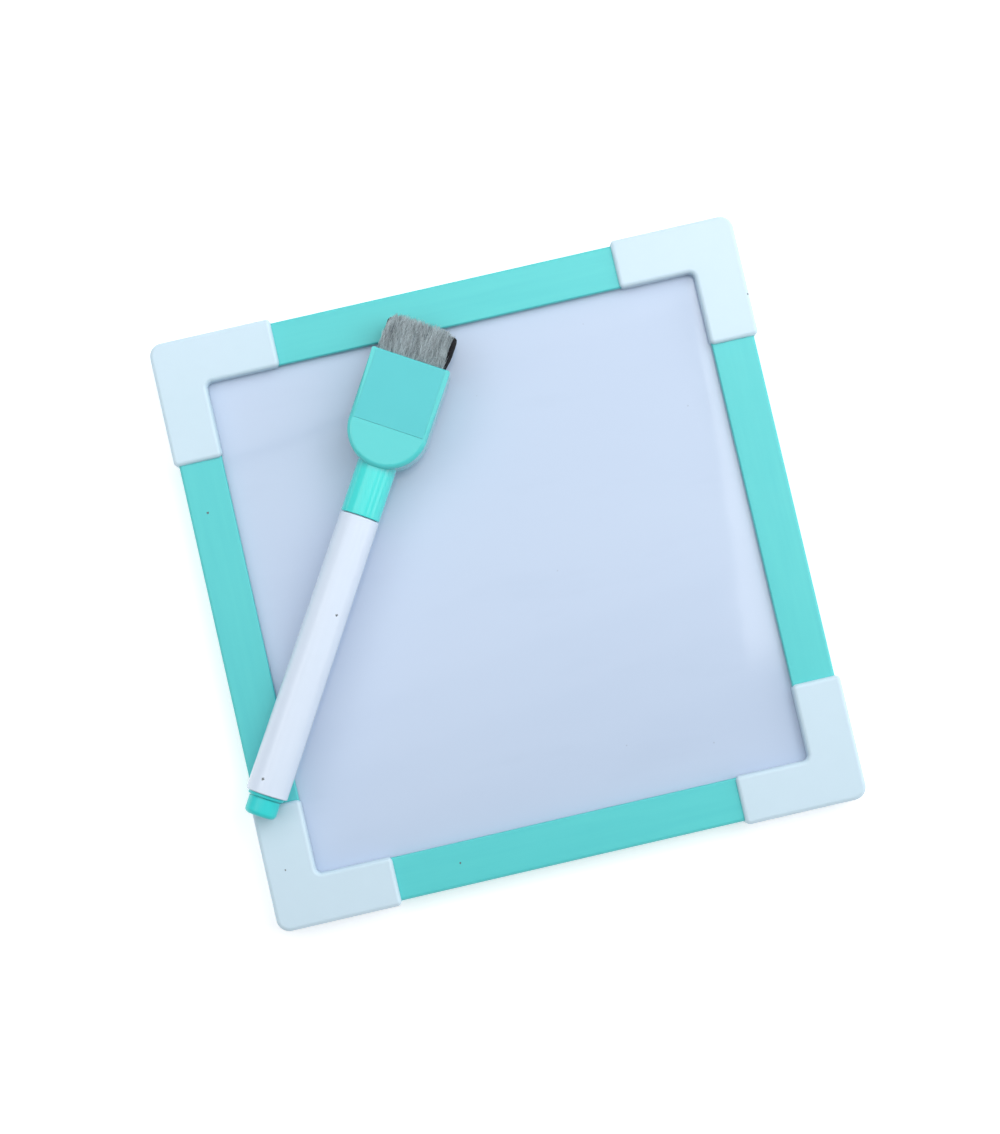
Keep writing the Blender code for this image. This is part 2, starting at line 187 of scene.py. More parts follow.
def carve(piece, cuts=(), unions=()):
    """Joins the union bmeshes to the piece and takes the cut bmeshes from it."""
    helpers = []
    for operation, shapes in (("UNION", unions), ("DIFFERENCE", cuts)):
        for index, shape in enumerate(shapes):
            helper = add_object(f"{piece.name}_{operation.lower()}_{index}", shape, piece.matrix_world)
            boolean = piece.modifiers.new(helper.name, "BOOLEAN")
            boolean.operation = operation
            boolean.object = helper
            helpers.append(helper)
    apply_modifiers(piece)
    for helper in helpers:
        bpy.data.objects.remove(helper, do_unlink=True)


def apply_modifiers(piece):
    bpy.context.view_layer.update()
    evaluated = piece.evaluated_get(bpy.context.evaluated_depsgraph_get())
    mesh = bpy.data.meshes.new_from_object(evaluated)
    mesh.name = piece.name
    piece.modifiers.clear()
    piece.data = mesh


def roughen(piece, depth):
    """Moves each point along its normal by depth(point)."""
    normals = [vert.normal.copy() for vert in piece.data.vertices]
    for vert, normal in zip(piece.data.vertices, normals):
        vert.co += normal * depth(vert.co)


def smooth(piece, angle=SMOOTH_ANGLE):
    """Smooth shading with crisp edges, weighted so that flat faces stay flat."""
    piece.data.shade_smooth()
    piece.data.set_sharp_from_angle(angle=angle)
    weighted = piece.modifiers.new("weighted", "WEIGHTED_NORMAL")
    weighted.keep_sharp = True
    apply_modifiers(piece)


def dress(piece, material, body, slot, *nodes):
    """Gives the piece its material and its body, and hides the CAD nodes that it stands for. The slot is not
    used.
    """
    piece.data.materials.clear()
    piece.data.materials.append(material)
    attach(piece, body)
    if nodes:
        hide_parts(*nodes)
    return piece


# ---- Material helpers ----
SPECK_COLOR = (0.10, 0.12, 0.13)
GLOSS_SWING = 0.04
SCUFF_ROUGHNESS = 0.04


def add_node(tree, kind, links=None, values=None, **settings):
    made = tree.nodes.new(kind)
    for key, value in settings.items():
        setattr(made, key, value)
    for key, value in (values or {}).items():
        made.inputs[key].default_value = value
    for key, source in (links or {}).items():
        tree.links.new(source, made.inputs[key])
    return made


def new_material(name, **sockets):
    """(material, tree, principled shader, object coordinates), with these values on the shader."""
    material = bpy.data.materials.new(name)
    material.use_nodes = True
    tree = material.node_tree
    shader = tree.nodes["Principled BSDF"]
    for key, value in sockets.items():
        shader.inputs[key.replace("_", " ")].default_value = value
    place = add_node(tree, "ShaderNodeTexCoord").outputs["Object"]
    return material, tree, shader, place


def stretched(tree, place, scale):
    """The coordinates scaled by a different amount along each axis."""
    return add_node(tree, "ShaderNodeMapping", {"Vector": place}, {"Scale": scale}).outputs[0]


def clouds(tree, place, scale, detail=3.0, roughness=0.55):
    """Soft noise from 0 to 1. The scale is in features for each metre."""
    values = {"Scale": scale, "Detail": detail, "Roughness": roughness}
    return add_node(tree, "ShaderNodeTexNoise", {"Vector": place}, values).outputs["Fac"]


def spread(tree, value, low, high, start=0.3, end=0.7):
    """The value taken from start..end to low..high, and held there."""
    values = {1: start, 2: end, 3: low, 4: high}
    return add_node(tree, "ShaderNodeMapRange", {0: value}, values).outputs[0]


def tint(tree, factor, first, second):
    """Colour from first to second by the factor. Each is a socket or an (r, g, b)."""
    made = add_node(tree, "ShaderNodeMix", {0: factor}, data_type="RGBA")
    for index, color in ((6, first), (7, second)):
        if isinstance(color, tuple):
            made.inputs[index].default_value = (*color, 1.0)
        else:
            tree.links.new(color, made.inputs[index])
    return made.outputs[2]


def bump(tree, shader, height, distance, under=None):
    """Adds a bump of this height map to the shader, over another bump if given."""
    links = {"Height": height}
    if under is not None:
        links["Normal"] = under
    made = add_node(tree, "ShaderNodeBump", links, {"Strength": 1.0, "Distance": distance})
    tree.links.new(made.outputs[0], shader.inputs["Normal"])
    return made.outputs[0]


def speck_mask(tree, place, specks):
    """1 inside small ragged specks, 0 elsewhere. Each is (x, y, radius) in the piece's own frame."""
    ragged = clouds(tree, place, 4200.0, 2.0)
    flat = add_node(tree, "ShaderNodeVectorMath", {0: place}, {1: (1.0, 1.0, 0.0)}, operation="MULTIPLY")
    total = None
    for x, y, radius in specks:
        away = add_node(
            tree, "ShaderNodeVectorMath", {0: flat.outputs[0]}, {1: (x, y, 0.0)}, operation="DISTANCE"
        ).outputs["Value"]
        size = spread(tree, ragged, 0.5 * radius, 1.5 * radius)
        inside = add_node(tree, "ShaderNodeMath", {0: size, 1: away}, operation="SUBTRACT").outputs[0]
        mask = spread(tree, inside, 0.0, 1.0, 0.0, 0.4 * radius)
        if total is None:
            total = mask
        else:
            total = add_node(tree, "ShaderNodeMath", {0: total, 1: mask}, operation="MAXIMUM").outputs[0]
    return total


def plastic(name, color, shade, gloss, grain=0.000002, specks=(), stretch=(1.0, 1.0, 1.0), **sockets):
    """Coloured plastic: cloudy pigment, uneven gloss, faint scuffs and a fine orange-peel surface."""
    material, tree, shader, place = new_material(name, **sockets)
    along = stretched(tree, place, stretch)
    pigment = spread(tree, clouds(tree, along, 26.0), 0.0, 1.0)
    result = tint(tree, pigment, color, shade)
    patches = spread(tree, clouds(tree, place, 210.0, 4.0), 0.0, 0.07)
    result = tint(tree, patches, result, tuple(0.86 * channel for channel in color))
    if specks:
        result = tint(tree, speck_mask(tree, place, specks), result, SPECK_COLOR)
    tree.links.new(result, shader.inputs["Base Color"])
    scuffs = spread(tree, clouds(tree, along, 55.0, 5.0), 0.0, 1.0, 0.55, 0.8)
    cloudy = spread(tree, clouds(tree, place, 90.0), gloss - GLOSS_SWING, gloss + GLOSS_SWING)
    values = {1: SCUFF_ROUGHNESS}
    rough = add_node(tree, "ShaderNodeMath", {0: scuffs, 2: cloudy}, values, operation="MULTIPLY_ADD")
    tree.links.new(rough.outputs[0], shader.inputs["Roughness"])
    peel = bump(tree, shader, clouds(tree, along, 420.0, 2.0), grain * 5)
    bump(tree, shader, clouds(tree, place, 5200.0, 2.0), grain, peel)
    return material


# ---- Materials ----
MINT = (0.097, 0.620, 0.625)
MINT_SHADE = (0.086, 0.592, 0.608)
PLUG_MINT = (0.030, 0.66, 0.66)
PLUG_MINT_SHADE = (0.027, 0.63, 0.635)
CAP_MINT = (0.080, 0.63, 0.63)
CAP_MINT_SHADE = (0.075, 0.61, 0.615)
COVER_MINT = (0.082, 0.565, 0.60)
COVER_MINT_SHADE = (0.078, 0.55, 0.585)
# Lighter mint for the sleeve: painted glow of the light let through its thin wall.
SLEEVE_GLOW_MINT = (0.055, 0.735, 0.70)
MOULDING = (0.59, 0.745, 0.85)
MOULDING_SHADE = (0.575, 0.74, 0.84)
BARREL = (0.70, 0.79, 0.92)
BARREL_SHADE = (0.685, 0.78, 0.91)
FILM = (0.52, 0.625, 0.79)
FILM_SHADE = (0.507, 0.612, 0.78)

RAIL_SPECKS = [(-0.0588, 0.0846, 0.0004), (-0.0833, 0.0370, 0.0004), (-0.0330, -0.0817, 0.0003)]
CORNER_SPECKS = [(0.0740, 0.0700, 0.0003), (0.0895, 0.0650, 0.0003), (-0.0840, -0.0720, 0.0003)]
BARREL_SPECKS = [(0.0031, -0.0300, 0.0004), (-0.0020, -0.0823, 0.0005)]


def film_material():
    """The glossy writing film: faint wiped-off ink haze, hairline wipe marks and a mirror-like top coat."""
    material, tree, shader, place = new_material(
        "writing_film", Coat_Weight=0.35, Coat_Roughness=0.03, Specular_IOR_Level=0.4
    )
    haze = spread(tree, clouds(tree, stretched(tree, place, (9.0, 22.0, 1.0)), 1.0, 4.0), 0.0, 1.0)
    result = tint(tree, haze, FILM, FILM_SHADE)
    wiped = clouds(tree, stretched(tree, place, (14.0, 60.0, 1.0)), 1.0, 5.0)
    result = tint(tree, spread(tree, wiped, 0.0, 0.10, 0.55, 0.8), result, (0.30, 0.40, 0.55))
    fleck = add_node(tree, "ShaderNodeTexVoronoi", {"Vector": place}, {"Scale": 70.0}).outputs["Distance"]
    result = tint(tree, spread(tree, fleck, 0.30, 0.0, 0.010, 0.022), result, (0.16, 0.20, 0.28))
    tree.links.new(result, shader.inputs["Base Color"])
    streaks = clouds(tree, stretched(tree, place, (60.0, 1500.0, 1.0)), 1.0, 4.0)
    tree.links.new(spread(tree, streaks, 0.045, 0.085), shader.inputs["Roughness"])
    waves = bump(tree, shader, clouds(tree, place, 42.0, 2.0), 0.00006)
    bump(tree, shader, clouds(tree, place, 1400.0, 2.0), 0.0000012, waves)
    return material


def cap_material():
    """The cap's mint plastic. The thin-walled sleeve is painted lighter than the thick paddle: a painted glow
    of the light that its thin wall lets through.
    """
    material = plastic("cap_mint", CAP_MINT, CAP_MINT_SHADE, 0.18, Coat_Weight=0.5, Coat_Roughness=0.16)
    tree = material.node_tree
    shader = tree.nodes["Principled BSDF"]
    pigment = shader.inputs["Base Color"].links[0].from_socket
    place = add_node(tree, "ShaderNodeTexCoord").outputs["Object"]
    along = add_node(tree, "ShaderNodeSeparateXYZ", {"Vector": place}).outputs["Y"]
    # The sleeve is tinted lighter than the paddle: painted glow of light through its thin wall.
    thin = spread(tree, along, 1.0, 0.0, 0.0135, 0.0155)
    tree.links.new(tint(tree, thin, pigment, SLEEVE_GLOW_MINT), shader.inputs["Base Color"])
    return material


def rail_material(name, stretch):
    """Extruded plastic: draw lines run along the rail."""
    return plastic(name, MINT, MINT_SHADE, 0.33, 0.000002, RAIL_SPECKS, stretch)


def foam_material():
    """Black open-cell foam. The pits of the cells are painted darker than their walls: painted shade in the
    holes.
    """
    material, tree, shader, place = new_material("black_foam", Roughness=0.95, Specular_IOR_Level=0.2)
    cells = add_node(tree, "ShaderNodeTexVoronoi", {"Vector": place}, {"Scale": 2600.0}).outputs["Distance"]
    # Painted shade: darkest at the cells' centres, the pits, and lighter on the walls between them.
    shaded_cell_pits = spread(tree, cells, 0.0, 1.0, 0.1, 0.6)
    result = tint(tree, shaded_cell_pits, (0.003, 0.003, 0.004), (0.022, 0.022, 0.025))
    tree.links.new(result, shader.inputs["Base Color"])
    bump(tree, shader, cells, 0.00025)
    return material


def pile_material():
    """Grey brushed pile. Each fibre carries its own shade in the attribute fibre_shade. The nap between the
    fibres has none and falls to the dark end: painted shade between the fibres.
    """
    material, tree, shader, place = new_material(
        "grey_pile", Roughness=0.85, Specular_IOR_Level=0.25, Sheen_Weight=0.35, Sheen_Roughness=0.4
    )
    own = add_node(tree, "ShaderNodeAttribute", attribute_name="fibre_shade").outputs["Fac"]
    patches = clouds(tree, stretched(tree, place, (420.0, 150.0, 150.0)), 1.0, 3.0)
    fibre_tone_and_gap_shade = add_node(tree, "ShaderNodeMath", {0: own, 1: patches}, operation="ADD").outputs[0]
    # Painted shade: the nap, without fibre_shade, takes the dark grey, as shade in the gaps between the
    # fibres.
    result = tint(tree, spread(tree, fibre_tone_and_gap_shade, 0.0, 1.0, 0.45, 1.45), (0.18, 0.23, 0.26), (0.67, 0.78, 0.82))
    tree.links.new(result, shader.inputs["Base Color"])
    bump(tree, shader, clouds(tree, stretched(tree, place, (3800.0, 700.0, 900.0)), 1.0, 3.0), 0.00012)
    return material


def felt_material(name, dark, light):
    """Pressed fibre with streaks along the marker."""
    material, tree, shader, place = new_material(name, Roughness=0.9, Specular_IOR_Level=0.25)
    strands = clouds(tree, stretched(tree, place, (5200.0, 500.0, 5200.0)), 1.0, 4.0)
    tree.links.new(tint(tree, spread(tree, strands, 0.0, 1.0), dark, light), shader.inputs["Base Color"])
    bump(tree, shader, strands, 0.00008)
    return material


def steel_material():
    """Nickel-plated magnet steel with fine grinding lines."""
    material, tree, shader, place = new_material("magnet_plating", Metallic=1.0)
    lines = clouds(tree, stretched(tree, place, (150.0, 5000.0, 800.0)), 1.0, 4.0)
    tree.links.new(tint(tree, lines, (0.28, 0.28, 0.29), (0.48, 0.48, 0.49)), shader.inputs["Base Color"])
    tree.links.new(spread(tree, lines, 0.25, 0.5), shader.inputs["Roughness"])
    bump(tree, shader, lines, 0.00001)
    return material


def hardboard_material():
    """Brown pressed-fibre board."""
    material, tree, shader, place = new_material("pressed_hardboard", Roughness=0.85)
    chips = clouds(tree, place, 900.0, 6.0, 0.7)
    tree.links.new(
        tint(tree, spread(tree, chips, 0.0, 1.0), (0.11, 0.055, 0.028), (0.33, 0.20, 0.11)),
        shader.inputs["Base Color"],
    )
    bump(tree, shader, chips, 0.00015)
    return material


def make_materials():
    along_x, along_y = (1.0, 14.0, 14.0), (14.0, 1.0, 14.0)
    return {
        "film": film_material(),
        "rail_x": rail_material("rail_mint_lengthwise_x", along_x),
        "rail_y": rail_material("rail_mint_lengthwise_y", along_y),
        "corner": plastic("corner_moulding", MOULDING, MOULDING_SHADE, 0.34, specks=CORNER_SPECKS),
        "barrel": plastic("barrel_gloss", BARREL, BARREL_SHADE, 0.18, 0.000002, BARREL_SPECKS, along_y),
        "plug": plastic("plug_mint", PLUG_MINT, PLUG_MINT_SHADE, 0.34),
        "cap": cap_material(),
        "cover": plastic("cover_mint", COVER_MINT, COVER_MINT_SHADE, 0.34),
        "neck": plastic("neck_white", BARREL, BARREL_SHADE, 0.35),
        "seal": plastic("seal_liner", (0.70, 0.70, 0.66), (0.64, 0.64, 0.60), 0.5),
        "back": plastic("back_film", (0.62, 0.68, 0.76), (0.57, 0.63, 0.72), 0.55, 0.00002),
        "core": hardboard_material(),
        "magnet": steel_material(),
        "foam": foam_material(),
        "pile": pile_material(),
        "nib": felt_material("nib_felt", (0.004, 0.004, 0.006), (0.03, 0.03, 0.036)),
        "ink": felt_material("ink_fibre", (0.006, 0.006, 0.01), (0.05, 0.05, 0.06)),
    }


# ---- Board ----
def make_film(materials):
    """The writing film. It is a little proud in the middle and falls away towards the rails."""
    low, high = FILM_LOW, FILM_HIGH
    cells = 96
    drop, verge = 0.00012, 0.010
    bm = bmesh.new()

    def top(x, y):
        inside = min(x - low.x, high.x - x, y - low.y, high.y - y)
        return high.z - drop * max(0.0, 1.0 - inside / verge) ** 2

    rows = []
    for i in range(cells + 1):
        y = low.y + (high.y - low.y) * i / cells
        xs = [low.x + (high.x - low.x) * j / cells for j in range(cells + 1)]
        rows.append([bm.verts.new((x, y, top(x, y))) for x in xs])
    for lower, upper in zip(rows, rows[1:]):
        for j in range(cells):
            bm.faces.new([lower[j], lower[j + 1], upper[j + 1], upper[j]])
    lowered = bmesh.ops.extrude_face_region(bm, geom=bm.faces[:], use_keep_orig=True)["geom"]
    for item in lowered:
        if isinstance(item, bmesh.types.BMVert):
            item.co.z = low.z
    film = add_object("writing_film", bm)
    smooth(film)
    dress(film, materials["film"], "board", "writing_surface", "dry_erase_sheet")


def rail_outline():
    """(y, z) points of the top rail: a box outside, a slot for the panel inside, and a fine step on top."""
    big, small = RAIL_RIM, RAIL_LIP_RIM
    step = RAIL_INNER + RAIL_STEP_PLACE
    return [
        *arc((RAIL_OUTER - big, RAIL_LOW + big), big, -90, 0, 6),
        *arc((RAIL_OUTER - big, RAIL_HIGH - big), big, 0, 90, 6),
        (step + RAIL_STEP_SLOPE, RAIL_HIGH),
        (step, RAIL_HIGH - RAIL_STEP),
        *arc((RAIL_INNER + small, RAIL_HIGH - RAIL_STEP - small), small, 90, 180, 4),
        (RAIL_INNER, SLOT_HIGH),
        (SLOT_BOTTOM, SLOT_HIGH),
        (SLOT_BOTTOM, SLOT_LOW),
        (RAIL_INNER, SLOT_LOW),
        *arc((RAIL_INNER + small, RAIL_LOW + small), small, 180, 270, 4),
    ]


def chamber(shrink, start, end):
    """The top rail's hollow between two x positions, smaller all round by shrink."""
    outer = RAIL_OUTER - RAIL_WALL
    low = (start, outer - RAIL_CHAMBER + shrink, RAIL_LOW + RAIL_WALL + shrink)
    return block(low, (end, outer - shrink, RAIL_HIGH - RAIL_WALL - shrink))


def make_rails(materials):
    for side, yaw in (("top", 0), ("left", 90), ("bottom", 180), ("right", 270)):
        rail = add_object(f"rail_{side}_extrusion", extruded(rail_outline(), -RAIL_END, RAIL_END, "X"))
        carve(rail, cuts=[chamber(0.0, -2 * RAIL_END, 2 * RAIL_END)])
        rail.data.transform(Matrix.Rotation(math.radians(yaw), 4, "Z"))
        smooth(rail)
        material = materials["rail_y" if side in ("left", "right") else "rail_x"]
        dress(rail, material, "board", "rail", "rail_" + side)


def corner_outline():
    """(x, y) points of the corner cap at +X +Y: an L with round corners."""
    outer, inner, end = BOARD_HALF, BOARD_HALF - ARM_WIDTH, CAP_INNER
    big, small, hollow = CORNER_RADIUS, ARM_END_RADIUS, INSIDE_RADIUS
    return [
        *arc((outer - big, outer - big), big, 0, 90, 12),
        *arc((end + small, outer - small), small, 90, 180, 6),
        *arc((end + small, inner + small), small, 180, 270, 6),
        *arc((inner - hollow, inner - hollow), hollow, 90, 0, 8),
        *arc((inner + small, end + small), small, 180, 270, 6),
        *arc((outer - small, end + small), small, 270, 360, 6),
    ]


def swapped(bm):
    """The bmesh with x and y exchanged."""
    for vert in bm.verts:
        vert.co.x, vert.co.y = vert.co.y, vert.co.x
    return bm


def make_corners(materials):
    """Moulded corner caps: sockets over the rails' ends, with a thin skirt inside, and the panel's slot."""
    outer = BOARD_HALF
    socket_end = CAP_INNER + SOCKET_DEPTH

    def socket():
        low = (CAP_INNER - 0.001, outer - ARM_WIDTH + SKIRT, RAIL_LOW - SEAT)
        return block(low, (socket_end, RAIL_OUTER + SEAT, RAIL_HIGH + SEAT))

    def tongue():
        return chamber(0.0003, socket_end - 0.011, socket_end + 0.001)

    for corner, yaw in (("top_right", 0), ("top_left", 90), ("bottom_left", 180), ("bottom_right", 270)):
        shell = extruded(corner_outline(), 0.0, CAP_HEIGHT, rim=CORNER_RIM, segments=7)
        cap = add_object(f"corner_{corner}_moulding", shell)
        slot = block((0.0, 0.0, SLOT_LOW), (SLOT_BOTTOM, SLOT_BOTTOM, SLOT_HIGH))
        carve(cap, cuts=[socket(), swapped(socket()), slot])
        carve(cap, unions=[tongue(), swapped(tongue())])
        cap.data.transform(Matrix.Rotation(math.radians(yaw), 4, "Z"))
        smooth(cap)
        dress(cap, materials["corner"], "board", "corner", "corner_cap_" + corner)


# ---- Marker ----
def make_barrel(materials):
    low, high = marker_box("marker_barrel")
    ease = 0.0004
    bore = 0.0049
    rear, front = high.x, 0.0060
    profile = [
        *arc((rear - ease, low.y + ease), ease, -90, 0, 4),
        *arc((front - ease, high.y - ease), ease, 0, 90, 4),
        (bore, high.y),
        (bore, low.y),
    ]
    barrel = add_object("barrel_tube", turned(profile, closed=True), MARKER)
    smooth(barrel)
    dress(barrel, materials["barrel"], "marker", "barrel", "marker_barrel")


def make_plug(materials):
    """The rear plug: a thin flange against the barrel, a fine groove, and a stub with a rounded end."""
    low, high = marker_box("end_plug")
    barrel_end = marker_box("marker_barrel")[0].y
    seat = barrel_end - 0.00012
    radius, flange_radius = 0.0048, high.x
    flange_back = seat - 0.0009
    rounding = 0.0015
    groove = 0.00035
    spigot, spigot_wall = 0.0046, 0.0012
    profile = [
        (0.0, low.y),
        *arc((radius - rounding, low.y + rounding), rounding, -90, 0, 8),
        (radius, flange_back - groove),
        (radius - 0.0004, flange_back - groove),
        (radius - 0.0004, flange_back),
        *arc((flange_radius - 0.0003, flange_back + 0.0003), 0.0003, -90, 0, 4),
        (flange_radius, seat),
        (spigot, seat),
        (spigot, high.y),
        (spigot - spigot_wall, high.y),
        (spigot - spigot_wall, seat),
        (0.0, seat),
    ]
    plug = add_object("end_plug_moulding", turned(profile), MARKER)
    smooth(plug)
    dress(plug, materials["plug"], "marker", "plug", "end_plug")


def make_neck(materials):
    """The neck that the cap slides over: a stepped ring, then a cone down to the nib."""
    low, high = marker_box("nib_holder")
    hole, radius, tip = 0.0019, high.x, 0.0032
    ring = 0.0006
    profile = [
        (hole, low.y),
        (radius, low.y),
        (radius, ring),
        *arc((radius - 0.0002, 0.0060), 0.0002, -20, 70, 3),
        *arc((radius - 0.0010, 0.0085), 0.0006, 0, 60, 4),
        *arc((tip - 0.0004, high.y - 0.0004), 0.0004, 20, 90, 4),
        (hole, high.y),
    ]
    neck = add_object("nib_neck", turned(profile, 64, closed=True), MARKER)
    smooth(neck)
    dress(neck, materials["neck"], "marker", "barrel", "nib_holder")


def make_nib(materials):
    """The felt bullet nib on its stem."""
    low, high = marker_box("writing_nib")
    stem = 0.0016
    shoulder = marker_box("nib_holder")[1].y + 0.0001
    radius = high.x
    profile = [
        (0.0, low.y),
        (stem, low.y),
        (stem, shoulder),
        (radius * 0.97, shoulder),
        (radius, shoulder + 0.0002),
        *[(radius * math.cos(a), high.y - radius * 1.25 * (1 - math.sin(a))) for a in
          (math.radians(90 * i / 10) for i in range(10))],
        (0.0, high.y),
    ]
    nib = add_object("felt_nib", turned(profile, 48), MARKER)
    smooth(nib)
    dress(nib, materials["nib"], "marker", "nib", "writing_nib")


# ---- Cap with its paddle and eraser ----
CAP_LOW, CAP_HIGH = marker_box("cap_body")
PLATE_LOW, PLATE_HIGH = marker_box("cap_plate")
PILE_LOW, PILE_HIGH = marker_box("eraser_pile")
CORE_LOW, CORE_HIGH = marker_box("eraser_core")
PADDLE_TIP = 0.0150
PADDLE_RIM = 0.0015
PLATE_HALF = CAP_HIGH.x - PADDLE_RIM + 0.0001
SLEEVE_RADIUS = 0.0060
SLEEVE_BORE = 0.0049
SLEEVE_DEPTH = 0.0262
CLEARANCE = 0.0003


def paddle():
    """The paddle's solid: a half-round lower end, straight sides and a crisp upper end."""
    half = CAP_HIGH.x
    corner = 0.0007
    outline = [
        *arc((0.0, PADDLE_TIP + half), half, 180, 360, 48),
        *arc((half - corner, CAP_HIGH.y - corner), corner, 0, 90, 4),
        *arc((corner - half, CAP_HIGH.y - corner), corner, 90, 180, 4),
    ]

    def at_top(edge):
        return all(vert.co.y > CAP_HIGH.y - 2 * corner for vert in edge.verts)

    return extruded(outline, CAP_LOW.z, CAP_HIGH.z, rim=PADDLE_RIM, segments=8, sharp=at_top)


def make_cap(materials):
    ease = 0.0003
    lip = CAP_LOW.y
    sleeve = turned([
        (0.0, lip),
        *arc((SLEEVE_RADIUS - ease, lip + ease), ease, -90, 0, 4),
        (SLEEVE_RADIUS, SLEEVE_DEPTH),
        (0.0, SLEEVE_DEPTH),
    ])
    below = -0.005
    bore = turned([(0.0, below), (SLEEVE_BORE, below), (SLEEVE_BORE, SLEEVE_DEPTH), (0.0, SLEEVE_DEPTH)], 64)
    hairline = 0.00003
    above = CAP_HIGH.y + 0.002
    recess = block(
        (-PLATE_HALF + hairline, PLATE_LOW.y - CLEARANCE, PLATE_LOW.z - CLEARANCE),
        (PLATE_HALF - hairline, above, CAP_HIGH.z + 0.001),
    )
    core_half = CORE_HIGH.x + CLEARANCE
    pocket = block(
        (-core_half, CORE_LOW.y - CLEARANCE, PILE_LOW.z - CLEARANCE),
        (core_half, above, PILE_HIGH.z + CLEARANCE),
    )
    magnet_low, magnet_high = marker_box("cap_magnet")
    bay = block(
        (magnet_low.x - CLEARANCE, magnet_low.y - CLEARANCE, magnet_low.z - CLEARANCE),
        (magnet_high.x + CLEARANCE, magnet_high.y + CLEARANCE, CAP_HIGH.z),
    )
    cap = add_object("cap_moulding", paddle(), MARKER)
    carve(cap, unions=[sleeve])
    carve(cap, cuts=[bore, recess, bay, pocket])
    smooth(cap)
    dress(cap, materials["cap"], "marker_cap", "cap", "cap_body")


def make_plate(materials):
    """The magnet's cover. Its lower edge shows as a hairline across the paddle."""
    groove = 0.00008
    ease = 0.0006
    lower_edge = PLATE_LOW.y - CLEARANCE + groove
    outline = [
        (lower_edge, PLATE_LOW.z),
        (PLATE_HIGH.y, PLATE_LOW.z),
        *arc((PLATE_HIGH.y - ease, PLATE_HIGH.z - ease), ease, 0, 90, 6),
        (lower_edge, PLATE_HIGH.z),
    ]
    plate = add_object("magnet_cover", extruded(outline, -PLATE_HALF, PLATE_HALF, "X"), MARKER)
    smooth(plate)
    dress(plate, materials["cover"], "marker_cap", "cap", "cap_plate")


def bullnose(low, high, root, end, steps=16):
    """(y, z) outline of a slab from the root to a half-round end."""
    radius = (high - low) / 2
    return [(root, low), *arc((end - radius, (low + high) / 2), radius, -90, 90, steps), (root, high)]


FOAM_SQUEEZE = 0.0009


def make_foam(materials):
    """The foam block. The cap squeezes its right side in, its end swells, and its skin is uneven."""
    low, high = CORE_LOW, CORE_HIGH
    grow = 0.0008
    outline = bullnose(low.z, high.z, low.y, high.y + grow, 20)
    foam = add_object("eraser_foam", extruded(outline, low.x, high.x, "X", rim=0.0011, segments=4), MARKER)
    dense = foam.modifiers.new("dense", "REMESH")
    dense.mode = "VOXEL"
    dense.voxel_size = 0.00035
    apply_modifiers(foam)
    for vert in foam.data.vertices:
        side = max(0.0, vert.co.x / high.x)
        away = (vert.co.y - CAP_HIGH.y) / (high.y + grow - CAP_HIGH.y)
        squeeze = 1.0 - math.sin(0.5 * math.pi * min(1.0, max(0.0, 1.7 * away)))
        vert.co.x -= FOAM_SQUEEZE * side ** 4 * squeeze
    roughen(foam, lambda point: 0.00009 * (noise.noise(point * 2400.0) + 0.6 * noise.noise(point * 700.0)))
    smooth(foam, math.radians(60))
    dress(foam, materials["foam"], "marker_cap", "foam", "eraser_core")


PILE_FIBRES = 6600
PILE_BOW = 0.0014


def bowed(point):
    """The point after the pile's end is bowed: its corners lie further back than its middle."""
    middle = (PILE_LOW.x + PILE_HIGH.x) / 2
    across = abs(point.x - middle) / (PILE_HIGH.x - middle)
    near_end = max(0.0, (point.y - CAP_HIGH.y) / (PILE_HIGH.y - CAP_HIGH.y))
    point.y -= PILE_BOW * across ** 5 * near_end ** 2
    if point.x > middle:
        point.x += 0.0007 * across
    else:
        point.x += 0.0005 * across ** 3 * near_end ** 2
    return point


def pile_path():
    """Points and outward normals, (y, z), along the pile's strip: front face, round end, back face."""
    middle = (PILE_LOW.z + PILE_HIGH.z) / 2
    radius = (PILE_HIGH.z - PILE_LOW.z) / 2
    straight = PILE_HIGH.y - radius
    start = CAP_HIGH.y - 0.0012
    flat = [start + (straight - start) * i / 20 for i in range(21)]
    front = [((y, PILE_HIGH.z), (0.0, 1.0)) for y in flat]
    round_end = []
    for i in range(1, 24):
        a = math.radians(90 - 180 * i / 24)
        normal = (math.cos(a), math.sin(a))
        round_end.append(((straight + radius * normal[0], middle + radius * normal[1]), normal))
    back = [((y, PILE_LOW.z), (0.0, -1.0)) for y in reversed(flat)]
    return front + round_end + back


def make_pile(materials):
    """The strip of pile fabric folded over the foam: an uneven nap with fibres standing out of it."""
    low, high = PILE_LOW, PILE_HIGH
    inset = 0.0010
    outer = bullnose(low.z, high.z, low.y, high.y, 20)
    inner = bullnose(low.z + inset, high.z - inset, low.y, high.y - inset, 20)
    strip = extruded(outer + inner[::-1], low.x, high.x, "X")
    pile = add_object("eraser_pile_fabric", strip, MARKER)
    dense = pile.modifiers.new("dense", "REMESH")
    dense.mode = "VOXEL"
    dense.voxel_size = 0.00032
    apply_modifiers(pile)
    roughen(pile, lambda point: 0.00018 * noise.noise(Vector((2.6 * point.x, point.y, point.z)) * 350.0))
    for vert in pile.data.vertices:
        vert.co = bowed(vert.co)
    smooth(pile, math.radians(70))
    dress(pile, materials["pile"], "marker_cap", "pile", "eraser_pile")
    make_fibres(materials)


